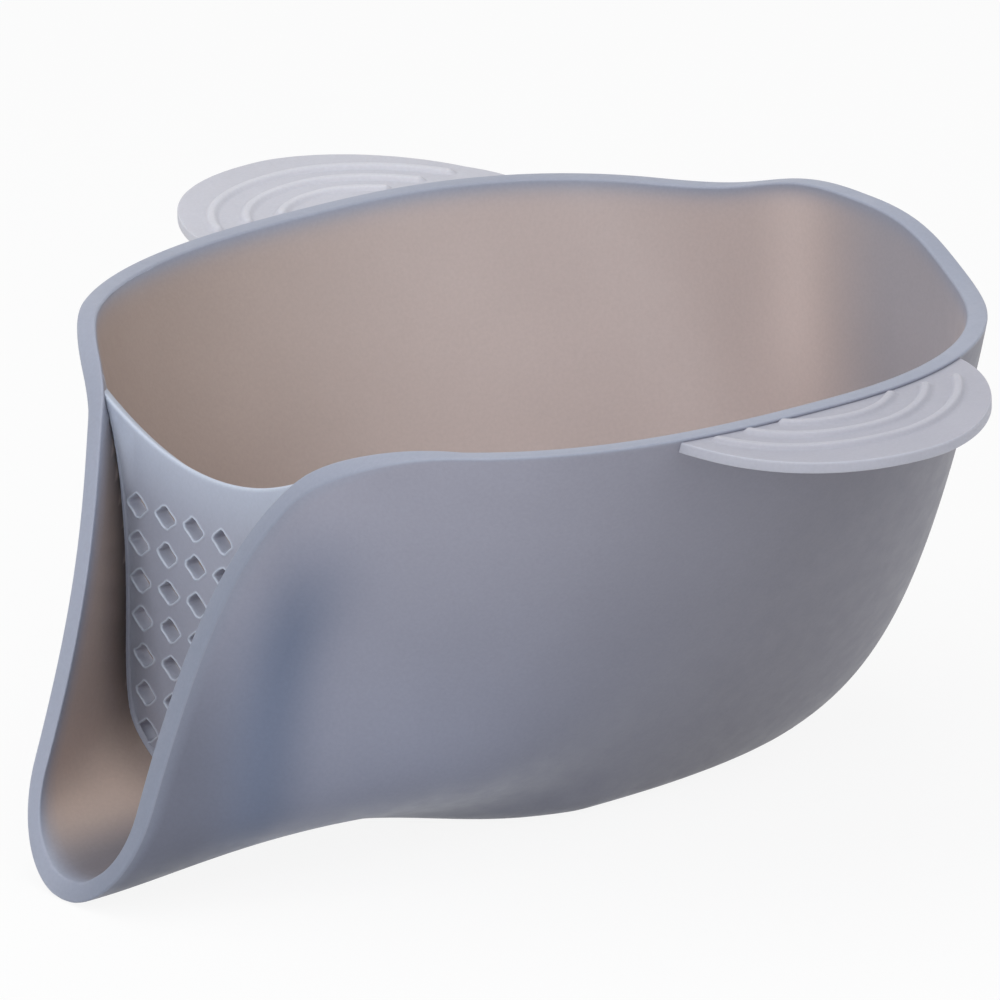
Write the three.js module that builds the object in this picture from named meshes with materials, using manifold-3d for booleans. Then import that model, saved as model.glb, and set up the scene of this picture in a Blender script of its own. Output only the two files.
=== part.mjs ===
// Silicone draining basket: a spouted tub, a perforated strainer wall across the spout and two grip ledges.
// Millimetres, +Z up, the spout points to -X, the origin is at the middle of the length and width, on the floor.
import * as THREE from "three";
import { mergeVertices } from "three/addons/utils/BufferGeometryUtils.js";
import Module from "manifold-3d";

// Overall sizes
const LENGTH = 201.4;
const RIM_HEIGHT = 96.1;
const WALL = 4;
const BOND_GAP = 0.3;

// Tub outline a little above the rim: height, foremost point, widest point, back end, half width and roundness
const TOP_HEIGHT = 104.5;
const TOP_FRONT = -67.8;
const TOP_MIDDLE = 26.6;
const TOP_BACK = 100.7;
const TOP_HALF_WIDTH = 89.6;
const TOP_FRONT_ROUNDNESS = 2.62;
const BACK_ROUNDNESS = 2.38;

// Tub outline at the flat base
const BASE_FRONT = -15;
const BASE_MIDDLE = 5;
const BASE_BACK = 39.5;
const BASE_HALF_WIDTH = 27.6;
const BASE_FRONT_ROUNDNESS = 1.3;

// How quickly the hull turns upright from the base: 1 is a straight slope, a high figure a tight corner
const SIDE_TURN = 1.18;
const FRONT_TURN = 3.5;
const BACK_TURN = 4.15;

// Spout: a round-bottomed trough that widens upwards and backwards into the tub
const SPOUT_HALF_WIDTH = 20.3;
const SPOUT_BOTTOM_DEPTH = 21.8;
const SPOUT_FLARE = 30;
const SPOUT_FLARE_POWER = 3.5;
const SPOUT_SPREAD = 0.613;
const SPOUT_SPREAD_HEIGHT = 15.9;
const SPOUT_REACH = 79;
const SPOUT_BLEND = 12.2;
const SPOUT_FADE = 40;

// The underside of the spout arches up between its tip and the flat base
const ARCH_RISE = 4;
const ARCH_LENGTH = 96.5;
const ARCH_HEIGHT = 33;

// Pouring lip: leans back from the tip and turns level into the rim
const LIP_LEAN = 0.385;
const LIP_TURN_START = 46;
const LIP_TURN_RISE = 35;
const LIP_TURN_RUN = 16;
const LIP_TURN_END = -46.7;

// The rim swells upwards across the back
const BACK_RISE = 7.1;
const BACK_RISE_TOP = 3;
const BACK_RISE_FOOT = 56;

// Strainer wall
const STRAINER_FRONT = -62.3;
const STRAINER_THICKNESS = 3;
const STRAINER_TOP = 79.2;
const STRAINER_TOP_BEND = 0.0068;
const HOLE_COLUMNS = 6;
const HOLE_ROWS = 7;
const HOLE_COLUMN_PITCH = 9.9;
const HOLE_ROW_PITCH = 7.9;
const HOLE_TOP_ROW = 67;
const HOLE_WIDTH = 7.2;
const HOLE_HEIGHT = 5.2;

// Grip ledges
const HANDLE_MIDDLE = 29.2;
const HANDLE_HALF_LENGTH = 39.5;
const HANDLE_ROOT = 70;
const HANDLE_REACH = 117;
const HANDLE_FRONT_ROUNDNESS = 1.95;
const HANDLE_REAR_ROUNDNESS = 1.8;
const HANDLE_THICKNESS = 2.3;
const HANDLE_DROP = 0.7;
const HANDLE_EDGE = 0.5;
const RIB_COUNT = 3;
const RIB_PITCH = 6.8;
const RIB_SIDE_INSET = 10;
const RIB_END_INSET = 4.9;
const RIB_END = 88;
const RIB_WIDTH = 3;
const RIB_HEIGHT = 0.9;
const RIB_EDGE = 0.4;

// Fineness of the hull
const RING_STEPS = 40;
const LEVELS = 22;
const HULL_TOP = 112;
const CUT_MARGIN = 12;

const wasm = await Module();
wasm.setup();

function solidFrom(geometry) {
  const bare = new THREE.BufferGeometry();
  const loose = geometry.index ? geometry.toNonIndexed() : geometry;
  bare.setAttribute("position", loose.getAttribute("position").clone());
  const merged = mergeVertices(bare, 1e-4);
  const mesh = new wasm.Mesh({
    numProp: 3,
    vertProperties: merged.getAttribute("position").array,
    triVerts: new Uint32Array(merged.index.array),
  });
  return new wasm.Manifold(mesh);
}

function geometryFrom(solid) {
  const mesh = solid.getMesh();
  const geometry = new THREE.BufferGeometry();
  geometry.setAttribute("position", new THREE.BufferAttribute(new Float32Array(mesh.vertProperties), 3));
  geometry.setIndex(new THREE.BufferAttribute(new Uint32Array(mesh.triVerts), 1));
  const faceted = geometry.toNonIndexed();
  faceted.computeVertexNormals();
  return faceted;
}

function mix(a, b, share) {
  return a + (b - a) * share;
}

// Share of the way from the base size to the top size at a height, for a rounded turn
function turnShare(z, power) {
  const left = 1 - Math.min(z / TOP_HEIGHT, 1);
  return (1 - left ** power) ** (1 / power);
}

function smoothMax(a, b, blend) {
  const overlap = Math.max(blend - Math.abs(a - b), 0) / blend;
  return Math.max(a, b) + (overlap * overlap * blend) / 4;
}

function lipX(z) {
  return -LENGTH / 2 + LIP_LEAN * z;
}

function backEnd(z) {
  return mix(BASE_BACK, TOP_BACK, turnShare(z, BACK_TURN));
}

// Half width of the tub alone: two unequal superellipse quarters
function tubHalfWidth(x, z) {
  const side = turnShare(z, SIDE_TURN);
  const middle = mix(BASE_MIDDLE, TOP_MIDDLE, side);
  const front = mix(BASE_FRONT, TOP_FRONT, turnShare(z, FRONT_TURN));
  const ahead = x < middle;
  const reach = ahead ? (middle - x) / (middle - front) : (x - middle) / (backEnd(z) - middle);
  const roundness = ahead ? mix(BASE_FRONT_ROUNDNESS, TOP_FRONT_ROUNDNESS, side) : BACK_ROUNDNESS;
  const share = Math.max(1 - Math.min(reach, 1) ** roundness, 0) ** (1 / roundness);
  return mix(BASE_HALF_WIDTH, TOP_HALF_WIDTH, side) * share;
}

function spoutHalfWidth(x, z) {
  const bottom = Math.min(z / SPOUT_BOTTOM_DEPTH, 1);
  const trough = SPOUT_HALF_WIDTH * Math.sqrt(1 - (1 - bottom) ** 2);
  const flare = SPOUT_FLARE * Math.min(z / TOP_HEIGHT, 1) ** SPOUT_FLARE_POWER;
  const behind = x - lipX(z);
  const run = behind / Math.sqrt(1 + (behind / SPOUT_REACH) ** 2);
  const spread = SPOUT_SPREAD * (1 - Math.exp(-((z / SPOUT_SPREAD_HEIGHT) ** 1.5)));
  return trough + flare + spread * run;
}

// The spout flows into the tub and fades out before the widest point
function hullHalfWidth(x, z) {
  const tub = tubHalfWidth(x, z);
  const middle = mix(BASE_MIDDLE, TOP_MIDDLE, turnShare(z, SIDE_TURN));
  const near = THREE.MathUtils.smoothstep(middle - x, 0, SPOUT_FADE);
  const joined = smoothMax(tub, spoutHalfWidth(x, z), SPOUT_BLEND);
  return mix(tub, joined, near);
}

// How far the arch under the spout lifts the hull, most of all at the bottom
function archLift(x, z) {
  const along = THREE.MathUtils.clamp((x + LENGTH / 2) / ARCH_LENGTH, 0, 1);
  const left = Math.max(1 - z / ARCH_HEIGHT, 0);
  return ARCH_RISE * (Math.sin(Math.PI * along) * left) ** 2;
}

// One outline from the near side of the spout round the back to its far side
function hullRing(z) {
  const start = lipX(z) - CUT_MARGIN;
  const end = backEnd(z);
  const near = [];
  for (let step = 0; step < RING_STEPS; step += 1) {
    const x = mix(start, end, Math.sin((step / RING_STEPS) * (Math.PI / 2)));
    near.push(new THREE.Vector3(x, -hullHalfWidth(x, z), z + archLift(x, z)));
  }
  const far = near.map((point) => new THREE.Vector3(point.x, -point.y, point.z));
  return [...near, new THREE.Vector3(end, 0, z), ...far.reverse()];
}

function hullRings() {
  const rings = [];
  for (let level = 0; level <= LEVELS; level += 1) {
    rings.push(hullRing(HULL_TOP * (level / LEVELS) ** 1.9));
  }
  return rings;
}

function wallIndex(rings, closed) {
  const count = rings[0].length;
  const last = closed ? count : count - 1;
  const index = [];
  for (let level = 0; level + 1 < rings.length; level += 1) {
    for (let i = 0; i < last; i += 1) {
      const a = level * count + i;
      const b = level * count + ((i + 1) % count);
      index.push(a, b, b + count);
      index.push(a, b + count, a + count);
    }
  }
  return index;
}

// The rings moved along the hull's own normals: inwards for a positive distance
function offsetRings(rings, distance) {
  const skin = new THREE.BufferGeometry().setFromPoints(rings.flat());
  skin.setIndex(wallIndex(rings, false));
  skin.computeVertexNormals();
  const normals = skin.getAttribute("normal");
  const count = rings[0].length;
  return rings.map((ring, level) =>
    ring.map((point, i) => {
      const normal = new THREE.Vector3().fromBufferAttribute(normals, level * count + i);
      if (level === 0) {
        normal.set(0, 0, -1);
      }
      return point.clone().addScaledVector(normal, -distance);
    }),
  );
}

// Closed body between the rings, with strips from side to side over the lowest and the highest ring
function loft(rings) {
  const count = rings[0].length;
  const top = (rings.length - 1) * count;
  const index = wallIndex(rings, true);
  for (let near = 0; near < RING_STEPS; near += 1) {
    const far = count - 1 - near;
    index.push(near, far, near + 1);
    index.push(top + near, top + near + 1, top + far);
    if (near + 1 < far - 1) {
      index.push(near + 1, far, far - 1);
      index.push(top + near + 1, top + far - 1, top + far);
    }
  }
  const geometry = new THREE.BufferGeometry().setFromPoints(rings.flat());
  geometry.setIndex(index);
  return solidFrom(geometry);
}

// A profile drawn in the side view (x, z), made into a block across the whole width
function blockAcross(shape) {
  const width = 2 * HANDLE_REACH;
  const geometry = new THREE.ExtrudeGeometry(shape, { depth: width, bevelEnabled: false, curveSegments: 14 });
  geometry.translate(0, 0, -width / 2);
  const turn = new THREE.Matrix4().makeBasis(
    new THREE.Vector3(1, 0, 0),
    new THREE.Vector3(0, 0, 1),
    new THREE.Vector3(0, -1, 0),
  );
  return solidFrom(geometry.applyMatrix4(turn));
}

// A profile drawn in the end view (y, z), made into a block from one x to another
function blockAlong(shape, from, to, segments) {
  const settings = { depth: to - from, bevelEnabled: false, curveSegments: segments };
  const geometry = new THREE.ExtrudeGeometry(shape, settings);
  geometry.translate(0, 0, from);
  const turn = new THREE.Matrix4().makeBasis(
    new THREE.Vector3(0, 1, 0),
    new THREE.Vector3(0, 0, 1),
    new THREE.Vector3(1, 0, 0),
  );
  return solidFrom(geometry.applyMatrix4(turn));
}

// Everything in front of and above the pouring lip
function lipCut() {
  const turnX = lipX(LIP_TURN_START);
  const risen = LIP_TURN_START + LIP_TURN_RISE;
  const shape = new THREE.Shape();
  shape.moveTo(lipX(-20), -20);
  shape.lineTo(turnX, LIP_TURN_START);
  shape.bezierCurveTo(lipX(risen), risen, LIP_TURN_END - LIP_TURN_RUN, RIM_HEIGHT, LIP_TURN_END, RIM_HEIGHT);
  shape.lineTo(LIP_TURN_END, 2 * HULL_TOP);
  shape.lineTo(-LENGTH, 2 * HULL_TOP);
  shape.lineTo(-LENGTH, -20);
  return blockAcross(shape);
}

// Everything above the rim, which swells up across the back
function rimCut() {
  const halfway = (BACK_RISE_FOOT + BACK_RISE_TOP) / 2;
  const crest = RIM_HEIGHT + BACK_RISE;
  const shape = new THREE.Shape();
  shape.moveTo(-HANDLE_REACH, RIM_HEIGHT);
  shape.lineTo(-BACK_RISE_FOOT, RIM_HEIGHT);
  shape.bezierCurveTo(-halfway, RIM_HEIGHT, -halfway, crest, -BACK_RISE_TOP, crest);
  shape.lineTo(BACK_RISE_TOP, crest);
  shape.bezierCurveTo(halfway, crest, halfway, RIM_HEIGHT, BACK_RISE_FOOT, RIM_HEIGHT);
  shape.lineTo(HANDLE_REACH, RIM_HEIGHT);
  shape.lineTo(HANDLE_REACH, 2 * HULL_TOP);
  shape.lineTo(-HANDLE_REACH, 2 * HULL_TOP);
  return blockAlong(shape, -LENGTH, LENGTH, 14);
}

function holeShape(y, z) {
  const w = HOLE_WIDTH / 2;
  const h = HOLE_HEIGHT / 2;
  const shape = new THREE.Shape();
  shape.moveTo(y + w * 0.65, z - h * 0.35);
  shape.quadraticCurveTo(y + w * 1.1, z, y + w * 0.65, z + h * 0.35);
  shape.lineTo(y + w * 0.35, z + h * 0.65);
  shape.quadraticCurveTo(y, z + h * 1.1, y - w * 0.35, z + h * 0.65);
  shape.lineTo(y - w * 0.65, z + h * 0.35);
  shape.quadraticCurveTo(y - w * 1.1, z, y - w * 0.65, z - h * 0.35);
  shape.lineTo(y - w * 0.35, z - h * 0.65);
  shape.quadraticCurveTo(y, z - h * 1.1, y + w * 0.35, z - h * 0.65);
  return shape;
}

function strainerWall(rings, lip) {
  const half = TOP_HALF_WIDTH;
  const topEnd = STRAINER_TOP + STRAINER_TOP_BEND * half * half;
  const outline = new THREE.Shape();
  outline.moveTo(-half, 0);
  outline.lineTo(half, 0);
  outline.lineTo(half, topEnd);
  outline.quadraticCurveTo(0, 2 * STRAINER_TOP - topEnd, -half, topEnd);
  const back = STRAINER_FRONT + STRAINER_THICKNESS;
  let wall = blockAlong(outline, STRAINER_FRONT, back, 32);
  wall = wall.intersect(loft(offsetRings(rings, WALL + BOND_GAP)));
  wall = wall.subtract(lip);
  for (let column = 0; column < HOLE_COLUMNS; column += 1) {
    const y = (column - (HOLE_COLUMNS - 1) / 2) * HOLE_COLUMN_PITCH;
    for (let row = 0; row < HOLE_ROWS; row += 1) {
      const z = HOLE_TOP_ROW - row * HOLE_ROW_PITCH;
      wall = wall.subtract(blockAlong(holeShape(y, z), STRAINER_FRONT - 2, back + 2, 2));
    }
  }
  return wall;
}

// Points on a half superellipse round the grip, from its front end to its rear end, both at the stated y
function gripArc(inset, endInset, endY, steps) {
  const reach = HANDLE_REACH - inset;
  const halfLength = HANDLE_HALF_LENGTH - endInset;
  const share = (endY - HANDLE_ROOT) / (reach - HANDLE_ROOT);
  const first = Math.PI - Math.asin(share ** (HANDLE_FRONT_ROUNDNESS / 2));
  const last = Math.asin(share ** (HANDLE_REAR_ROUNDNESS / 2));
  const points = [];
  for (let step = 0; step <= steps; step += 1) {
    const angle = mix(first, last, step / steps);
    const roundness = angle > Math.PI / 2 ? HANDLE_FRONT_ROUNDNESS : HANDLE_REAR_ROUNDNESS;
    const along = Math.sign(Math.cos(angle)) * Math.abs(Math.cos(angle)) ** (2 / roundness);
    const out = Math.abs(Math.sin(angle)) ** (2 / roundness);
    points.push(new THREE.Vector2(HANDLE_MIDDLE + halfLength * along, mix(HANDLE_ROOT, reach, out)));
  }
  return points;
}

// Round-ended band of even width along a grip arc
function ribShape(number) {
  const shift = number * RIB_PITCH;
  const curve = new THREE.SplineCurve(gripArc(RIB_SIDE_INSET + shift, RIB_END_INSET + shift, RIB_END, 16));
  const outer = [];
  const inner = [];
  const steps = 16;
  for (let step = 0; step <= steps; step += 1) {
    const point = curve.getPoint(step / steps);
    const tangent = curve.getTangent(step / steps);
    const aside = new THREE.Vector2(-tangent.y, tangent.x).multiplyScalar(RIB_WIDTH / 2);
    outer.push(point.clone().add(aside));
    inner.push(point.clone().sub(aside));
  }
  const roundEnd = (share, turn) => {
    const point = curve.getPoint(share);
    const tangent = curve.getTangent(share);
    const start = Math.atan2(tangent.x, -tangent.y) + turn;
    const end = [];
    for (let step = 1; step < 5; step += 1) {
      const angle = start - (step / 5) * Math.PI;
      end.push(new THREE.Vector2(Math.cos(angle), Math.sin(angle)).multiplyScalar(RIB_WIDTH / 2).add(point));
    }
    return end;
  };
  return new THREE.Shape([...outer, ...roundEnd(1, 0), ...inner.reverse(), ...roundEnd(0, Math.PI)]);
}

function handle(rings) {
  const top = RIM_HEIGHT - HANDLE_DROP;
  const edge = gripArc(HANDLE_EDGE, HANDLE_EDGE, HANDLE_ROOT, 32);
  const front = new THREE.Vector2(edge[0].x, HANDLE_ROOT - 20);
  const rear = new THREE.Vector2(edge[edge.length - 1].x, HANDLE_ROOT - 20);
  const ledge = new THREE.ExtrudeGeometry(new THREE.Shape([front, ...edge, rear]), {
    depth: HANDLE_THICKNESS - 2 * HANDLE_EDGE,
    bevelSize: HANDLE_EDGE,
    bevelThickness: HANDLE_EDGE,
    bevelSegments: 1,
  });
  ledge.translate(0, 0, top - HANDLE_THICKNESS + HANDLE_EDGE);
  let grip = solidFrom(ledge);
  for (let number = 0; number < RIB_COUNT; number += 1) {
    const rib = new THREE.ExtrudeGeometry(ribShape(number), {
      depth: RIB_HEIGHT,
      bevelSize: RIB_EDGE,
      bevelOffset: -RIB_EDGE,
      bevelThickness: RIB_EDGE,
      bevelSegments: 1,
    });
    rib.translate(0, 0, top - RIB_EDGE);
    grip = grip.add(solidFrom(rib));
  }
  return grip.subtract(loft(offsetRings(rings, -BOND_GAP)));
}

const hull = hullRings();
const lip = lipCut();
const shellSolid = loft(hull).subtract(loft(offsetRings(hull, WALL))).subtract(lip).subtract(rimCut());
const handleSolid = handle(hull);

const tubSilicone = new THREE.MeshStandardMaterial({ color: 0x8b8d9a, roughness: 0.55, metalness: 0 });
const strainerSilicone = new THREE.MeshStandardMaterial({ color: 0x9698a8, roughness: 0.55, metalness: 0 });
const gripSilicone = new THREE.MeshStandardMaterial({ color: 0xcdccd5, roughness: 0.5, metalness: 0 });

const basket = new THREE.Group();
basket.name = "silicone_draining_basket";

function addMesh(name, geometry, material) {
  const mesh = new THREE.Mesh(geometry, material);
  mesh.name = name;
  basket.add(mesh);
  return mesh;
}

addMesh("basket_shell", geometryFrom(shellSolid), tubSilicone);
addMesh("strainer_wall", geometryFrom(strainerWall(hull, lip)), strainerSilicone);
addMesh("handle_right", geometryFrom(handleSolid), gripSilicone);
addMesh("handle_left", geometryFrom(handleSolid), gripSilicone).scale.y = -1;

export default basket;
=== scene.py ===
# Silicone draining basket: smooth silicone bodies in place of the frame's faceted solids.
import math

import bpy
import numpy as np
from mathutils.geometry import delaunay_2d_cdt
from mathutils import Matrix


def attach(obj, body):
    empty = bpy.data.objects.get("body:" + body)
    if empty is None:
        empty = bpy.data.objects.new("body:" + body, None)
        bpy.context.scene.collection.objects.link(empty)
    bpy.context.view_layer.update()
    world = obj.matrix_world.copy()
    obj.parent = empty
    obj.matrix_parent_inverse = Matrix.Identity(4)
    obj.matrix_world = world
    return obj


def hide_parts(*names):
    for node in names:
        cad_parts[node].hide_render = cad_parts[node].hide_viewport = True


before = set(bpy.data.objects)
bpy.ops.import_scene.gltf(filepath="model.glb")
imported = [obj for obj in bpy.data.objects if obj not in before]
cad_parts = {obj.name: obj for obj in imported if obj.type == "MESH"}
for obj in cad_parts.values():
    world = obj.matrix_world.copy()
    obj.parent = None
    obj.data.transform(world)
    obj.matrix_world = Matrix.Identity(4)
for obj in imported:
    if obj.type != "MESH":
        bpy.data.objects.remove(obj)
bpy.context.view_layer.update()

# Lengths below are millimetres, as in the part's source, and become metres when a mesh is made
MM = 0.001

# Overall sizes
LENGTH = 201.4
RIM_HEIGHT = 96.1
WALL = 4

# Tub outline a little above the rim
TOP_HEIGHT = 104.5
TOP_FRONT = -67.8
TOP_MIDDLE = 26.6
TOP_BACK = 100.7
TOP_HALF_WIDTH = 89.6
TOP_FRONT_ROUNDNESS = 2.62
BACK_ROUNDNESS = 2.38

# Tub outline at the flat base
BASE_FRONT = -15
BASE_MIDDLE = 5
BASE_BACK = 39.5
BASE_HALF_WIDTH = 27.6
BASE_FRONT_ROUNDNESS = 1.3

# How quickly the hull turns upright from the base
SIDE_TURN = 1.18
FRONT_TURN = 3.5
BACK_TURN = 4.15

# Spout
SPOUT_HALF_WIDTH = 20.3
SPOUT_BOTTOM_DEPTH = 21.8
SPOUT_FLARE = 30
SPOUT_FLARE_POWER = 3.5
SPOUT_SPREAD = 0.613
SPOUT_SPREAD_HEIGHT = 15.9
SPOUT_SPREAD_POWER = 1.5
SPOUT_REACH = 79
SPOUT_BLEND = 12.2
SPOUT_FADE = 40

# Arch under the spout
ARCH_RISE = 4
ARCH_LENGTH = 96.5
ARCH_HEIGHT = 33

# Pouring lip and rim
LIP_LEAN = 0.385
LIP_TURN_START = 46
LIP_TURN_RISE = 35
LIP_TURN_RUN = 16
LIP_TURN_END = -46.7
BACK_RISE = 7.1
BACK_RISE_TOP = 3
BACK_RISE_FOOT = 56

# Strainer wall
STRAINER_FRONT = -62.3
STRAINER_THICKNESS = 3
STRAINER_TOP = 79.2
STRAINER_TOP_BEND = 0.0068
HOLE_COLUMNS = 6
HOLE_ROWS = 7
HOLE_COLUMN_PITCH = 9.9
HOLE_ROW_PITCH = 7.9
HOLE_TOP_ROW = 67
HOLE_WIDTH = 7.2
HOLE_HEIGHT = 5.2

# Grip ledges; each is moved along its wall and bent at its outer edge, as the soft ledges in the photo are
HANDLE_MIDDLE = 30
HANDLE_HALF_LENGTH = 36.4
HANDLE_SKEW = 1.5
HANDLE_TILT_RIGHT = 1.6
HANDLE_TILT_LEFT = -0.6
HANDLE_ROOT = 76
HANDLE_REACH = 117
HANDLE_FRONT_ROUNDNESS = 2.3
HANDLE_REAR_ROUNDNESS = 1.75
HANDLE_THICKNESS = 2.3
HANDLE_DROP = 0.7
RIB_COUNT = 3
RIB_PITCH = 6.8
RIB_SIDE_INSET = 10
RIB_END_INSET = 4.9
RIB_END = 88
RIB_HEIGHT = 0.9

# Edge of the sole: height over which depth turns from upright to square, least height of the outline, rounding
SOLE_BLEND = 3.0
SOLE_EDGE = 0.1
SOLE_ROUND_RUN = 5
SOLE_ROUND_RISE = 3.6
SOLE_ROUND_POWER = 1.6

# Rounder bottom of the spout towards the lip: what is left of the blend's flat strip, and where it fades
KEEL_SHARE = 0.15
KEEL_BAND = (55, 88)

# Finish of the other edges, which the faceted solids leave square; the crest is pairs of depth and inset
RIM_ROUND = 0.5
STRAINER_CREST = [(0, 0.5), (0.05, 0.25), (0.2, 0.07), (0.4, 0), (0.7, 0.06), (1.2, 0.45), (2, 1.1), (3, 1.9)]
CREST_GUARD = 0.5
STRAINER_BED = 1.3
STRAINER_FILLET = 0.9
FILLET_HEEL = 0.6
FILLET_TOP_SHARE = 0.08
HANDLE_ROUND = 0.45
HANDLE_GUARD = 0.4
HANDLE_BED = 1.5
RIB_FLAT = 0.45
RIB_FLANK = 1.1

# Rings from the strainer's face through a hole to its back: growth of the outline, depth and edge tint, which
# is a painted highlight round the hole's rim
HOLE_RINGS = [
    (1.0, 0.0, 0.0),
    (0.75, 0.0, 0.0),
    (0.55, -0.04, 0.3),
    (0.38, -0.15, 1.0),
    (0.2, -0.13, 1.0),
    (0.06, 0.05, 0.7),
    (0.0, 0.3, 0.2),
    (0.0, STRAINER_THICKNESS - 0.3, 0.0),
    (0.06, STRAINER_THICKNESS - 0.07, 0.3),
    (0.25, STRAINER_THICKNESS, 0.2),
    (0.5, STRAINER_THICKNESS, 0.0),
]
HOLE_BORDER = 0.5
HOLE_BORDER_GROWTH = 0.35

# Uneven hole edges: height of a wave, waves round the hole, and its phase by column and by row
HOLE_WAVES = [(0.03, 2, 1.7, 2.9), (0.025, 7, 2.3, -1)]

# Fineness of the smooth bodies
CUT_MARGIN = 12
HULL_COLUMNS = 120
BASE_ROWS = 28
BASE_ROWS_TOP = 30
BASE_ROWS_POWER = 2.6
SIDE_ROWS = 22
TURN_ROWS = 22
TURN_ROWS_START = 82
FLOOR_STRIPS = 10
ROUND_STEPS = 4
WALL_LINE_STEPS = 60
WALL_LINE_GUESS = 38.0
FLOOR_LINE_STEPS = 4
CREST_STEPS = 81
CORNER_STEPS = 7
FILLET_STEPS = 6
FILLET_GROW_STEPS = 9
ARC_STEPS = 1201
RIB_LINE_STEPS = 900
HANDLE_COLUMNS = 150
RING_STEP = 0.8
RIB_RING_STEP = 0.34
RIB_RING_REACH = 2.1
UNDERSIDE_EVERY = 4
LIP_PROFILE_STEPS = 161
LIP_PROFILE_FOOT = -5.0
RIM_RISE_STEPS = 200

# Small steps for the hull's normal: along the outline as a share, and upwards, shorter near the sole
SHARE_STEP = 1e-4
HEIGHT_STEP = 0.05
LEAST_HEIGHT_STEP = 0.002
HEIGHT_STEP_SHARE = 0.2

# Rounds of the searches for places on the hull
RIM_LAYER_ROUNDS = 14
RIM_RISE_ROUNDS = 6
INNER_ROUNDS = 25
WALL_LINE_ROUNDS = 6

# How far the rim and the lip shape the rows next to them
RIM_RISE_START = 55
LIP_REACH = 0.08
RIM_REACH = 12
LIP_LOW = 14
LIP_SLOPE = 0.94

# Edge tint of the wall: strength and width outside, width and power inside
OUTER_EDGE_TINT = 0.6
OUTER_EDGE_WIDTH = 0.35
INNER_EDGE_WIDTH = 2.4
INNER_EDGE_POWER = 1.5

# Bands over which the painted shade of the outside comes in
LIP_SHADE_ACROSS = (-14, 10)
LIP_SHADE_AHEAD = (52, 80)
STRAINER_SHADE_FOOT = -72.5
STRAINER_SHADE_HEAD = -62.5
STRAINER_SHADE_LEAN = (20, 75)
STRAINER_SHADE_WIDTH = 7
STRAINER_SHADE_START = (5, 20)
STRAINER_SHADE_END = (52, 86)
LOW_SHADE_HEIGHT = (5, 100)
REAR_SHADE_ALONG = (-50, 45)
AHEAD_SHADE_ALONG = (60, 86)
AHEAD_SHADE_HEIGHT = (28, 80)

# Bands over which the tints of the inside come in: a browner front, and painted shade, painted light and a
# painted highlight
BROWN_ALONG = (-60, 75)
GRAY_SHADE_ALONG = (70, 92)
GRAY_SHADE_ACROSS = (-14, 17)
CORNER_HIGHLIGHT_MIDDLE = 18
CORNER_HIGHLIGHT_WIDTH = 9
CORNER_HIGHLIGHT_ALONG = (80, 92)
CORNER_HIGHLIGHT_HEIGHT = (45, 75)
SPOUT_BEFORE = (2, 14)
CREASE_START = -1
CREASE_WIDTH = 8
CREASE_HEIGHT = (10, 40)
SHADE_ACROSS = (1, 15)
SHADE_SHARE = 0.8
TROUGH_SHADE_HEIGHT = (5, 14)
TROUGH_SHADE_FAR_SHARE = 0.5

# Silicone
ROUGHNESS = 0.46
GRIP_ROUGHNESS = 0.5
ROUGHNESS_SPREAD = 0.05
SUBSURFACE = 0.12
SILICONE_IOR = 1.41

# Camera at the photo's viewing angle, in metres and degrees
CAMERA_LENS = 500.7
CAMERA_PLACE = (-1.49354, -2.15622, 0.95093)
CAMERA_TURN = (71.23, 1.9855, -35.5254)

# Lamps: name, place, size, power and colour, in metres and watts
LAMPS = [
    ("top", (-0.15, 0.1, 1.15), 1.1, 6.8, (1.0, 0.99, 0.97)),
    ("left", (-1.0, -0.35, 0.55), 0.7, 4.6, (0.95, 0.97, 1.0)),
    ("right", (0.45, -1.0, 0.6), 0.8, 2.4, (0.97, 0.98, 1.0)),
]
LAMP_AIM = (0, 0, 0.05)
WORLD_LIGHT = 0.45
FLOOR_GLOW = 0.9
FLOOR_SIZE = 6.0
FLOOR_HEIGHT = -2e-4

MIRROR = np.array([1, -1, 1])


def mix(a, b, share):
    return a + (b - a) * share


def smoothstep(value, low, high):
    share = np.clip((value - low) / (high - low), 0, 1)
    return share * share * (3 - 2 * share)


def unit(vectors):
    return vectors / np.linalg.norm(vectors, axis=-1, keepdims=True)


# Hull, by the part's own formulas with a softer edge round the sole

def turn_share(z, power):
    left = 1 - np.clip(z / TOP_HEIGHT, 0, 1)
    return (1 - left ** power) ** (1 / power)


def smooth_max(a, b, blend):
    overlap = np.maximum(blend - np.abs(a - b), 0) / blend
    return np.maximum(a, b) + overlap * overlap * blend / 4


def lip_x(z):
    return -LENGTH / 2 + LIP_LEAN * z


def back_end(z):
    return mix(BASE_BACK, TOP_BACK, turn_share(np.maximum(z, SOLE_EDGE), BACK_TURN))


def tub_half_width(x, z):
    z = np.maximum(z, SOLE_EDGE)
    side = turn_share(z, SIDE_TURN)
    middle = mix(BASE_MIDDLE, TOP_MIDDLE, side)
    front = mix(BASE_FRONT, TOP_FRONT, turn_share(z, FRONT_TURN))
    ahead = x < middle
    reach = np.where(ahead, (middle - x) / (middle - front), (x - middle) / (back_end(z) - middle))
    roundness = np.where(ahead, mix(BASE_FRONT_ROUNDNESS, TOP_FRONT_ROUNDNESS, side), BACK_ROUNDNESS)
    share = np.maximum(1 - np.clip(reach, 0, 1) ** roundness, 0) ** (1 / roundness)
    rounding = SOLE_ROUND_RUN * np.maximum(1 - np.sqrt(z / SOLE_ROUND_RISE), 0) ** SOLE_ROUND_POWER
    return (mix(BASE_HALF_WIDTH, TOP_HALF_WIDTH, side) - rounding) * share


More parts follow.
